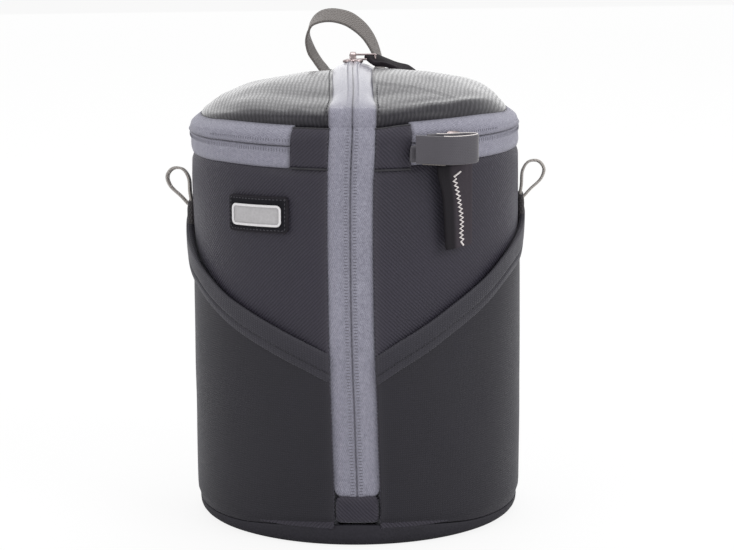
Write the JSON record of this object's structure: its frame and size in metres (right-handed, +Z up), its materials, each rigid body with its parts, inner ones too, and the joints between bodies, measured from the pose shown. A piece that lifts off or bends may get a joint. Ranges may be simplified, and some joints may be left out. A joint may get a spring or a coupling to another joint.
{
  "type": "lens pouch",
  "caption": "Padded round pouch with a domed lid, a zip round its top and one down its front, two low pockets, side loops, a carry loop and a belt strap.",
  "frame": {"origin": "centre of the flat underside that the pouch stands on", "axes": "+Z up towards the lid's crown, front zip towards -Y, belt strap and carry handle towards +Y, the zip-end loop on the +X side"},
  "size_m": [0.1528, 0.1481, 0.1976],
  "materials": {
    "twill": "woven twill, soft sheen",
    "stretch": "smooth stretch fabric",
    "hem": "bound edge",
    "tape": "zip tape",
    "coil": "nylon coil",
    "foam": "soft padding",
    "lining": "smooth lining",
    "webbing": "woven webbing",
    "strap": "smooth coated strip",
    "rubber": "matte",
    "frame": "light, matte",
    "metal": "satin"
  },
  "bodies": {
    "back": {"base_cup": "twill", "base_foam": "foam", "base_lining": "lining", "back_cloth": "twill", "back_foam": "foam", "back_lining": "lining", "back_zip_tape": "tape", "back_zip_coil": "coil", "front_zip_stop": "twill", "handle_anchor": "twill", "belt_pad": "twill", "belt_strap_anchor": "hem"},
    "left_half": {"left_cloth": "twill", "left_foam": "foam", "left_lining": "lining", "left_pocket": "stretch", "left_pocket_hem": "hem", "left_zip_tape": "tape", "left_zip_coil": "coil", "left_hinge_panel": "twill", "left_front_tape": "tape", "left_front_coil": "coil", "label_patch": "rubber", "label_frame": "frame"},
    "right_half": {"right_cloth": "twill", "right_foam": "foam", "right_lining": "lining", "right_pocket": "stretch", "right_pocket_hem": "hem", "right_zip_tape": "tape", "right_zip_coil": "coil", "right_hinge_panel": "twill", "right_front_tape": "tape", "right_front_coil": "coil", "zip_end_patch": "strap"},
    "left_lid": {"left_lid_cloth": "twill", "left_lid_foam": "foam", "left_lid_lining": "lining", "left_lid_front_tape": "tape", "left_lid_zip_tape": "tape", "left_lid_zip_coil": "coil", "left_lid_hinge_panel": "twill"},
    "right_lid": {"right_lid_cloth": "twill", "right_lid_foam": "foam", "right_lid_lining": "lining", "right_lid_front_tape": "tape", "right_lid_zip_tape": "tape", "right_lid_zip_coil": "coil", "right_lid_hinge_panel": "twill"},
    "left_side_loop": {"left_side_loop": "webbing"},
    "right_side_loop": {"right_side_loop": "webbing"},
    "zip_end_loop": {"zip_end_loop": "strap"},
    "top_slider": {"top_slider": "metal", "top_pull_link": "metal"},
    "top_pull_tab": {"top_pull_tab": "rubber"},
    "crown_slider": {"crown_slider": "metal"},
    "crown_pull": {"crown_pull_link": "metal", "crown_pull_tab": "rubber"},
    "carry_handle": {"carry_handle": "webbing"},
    "belt_strap": {"belt_strap": "webbing"}
  },
  "joints": [
    {"name": "left_half_opens", "type": "hinge", "parent": "back", "child": "left_half", "pos_m": [-0.0268, 0.0602, 0], "axis": [0, 0, -1], "range_deg": [0, 30]},
    {"name": "right_half_opens", "type": "hinge", "parent": "back", "child": "right_half", "pos_m": [0.0268, 0.0602, 0], "axis": [0, 0, 1], "range_deg": [0, 30]},
    {"name": "left_lid_lifts", "type": "hinge", "parent": "left_half", "child": "left_lid", "pos_m": [0, -0.0685, 0.1578], "axis": [1, 0, 0], "range_deg": [0, 110]},
    {"name": "right_lid_lifts", "type": "hinge", "parent": "right_half", "child": "right_lid", "pos_m": [0, -0.0685, 0.1578], "axis": [1, 0, 0], "range_deg": [0, 110]},
    {"name": "handle_folds", "type": "hinge", "parent": "back", "child": "carry_handle", "pos_m": [0, 0.0677, 0.1493], "axis": [-1, 0, 0], "range_deg": [0, 85]},
    {"name": "belt_strap_lifts", "type": "hinge", "parent": "back", "child": "belt_strap", "pos_m": [0, 0.0716, 0.12575], "axis": [1, 0, 0], "range_deg": [0, 80]},
    {"name": "left_side_loop_folds", "type": "hinge", "parent": "left_half", "child": "left_side_loop", "pos_m": [-0.0669, 0, 0.1236], "axis": [0, -1, 0], "range_deg": [0, 55]},
    {"name": "right_side_loop_folds", "type": "hinge", "parent": "right_half", "child": "right_side_loop", "pos_m": [0.0669, 0, 0.1269], "axis": [0, 1, 0], "range_deg": [0, 55]},
    {"name": "zip_end_loop_bends", "type": "hinge", "parent": "right_half", "child": "zip_end_loop", "pos_m": [0.02209, -0.06632, 0], "axis": [0, 0, -1], "range_deg": [0, 35]},
    {"name": "top_slider_runs", "type": "hinge", "parent": "right_half", "child": "top_slider", "pos_m": [0, 0, 0], "axis": [0, 0, 1], "range_deg": [0, 44]},
    {"name": "top_pull_lifts", "type": "hinge", "parent": "top_slider", "child": "top_pull_tab", "pos_m": [0.04006, -0.05722, 0.1485], "axis": [-0.8192, -0.5736, 0], "range_deg": [0, 80]},
    {"name": "crown_slider_runs", "type": "hinge", "parent": "right_lid", "child": "crown_slider", "pos_m": [0, 0, 0.04247], "axis": [1, 0, 0], "range_deg": [0, 22]},
    {"name": "crown_pull_lifts", "type": "hinge", "parent": "crown_slider", "child": "crown_pull", "pos_m": [0, 0.01993, 0.18426], "axis": [0, -0.9903, 0.1392], "range_deg": [0, 120]}
  ],
  "couplings": [
    {"joint": "right_lid_lifts", "follows": "left_lid_lifts", "ratio": 1}
  ]
}
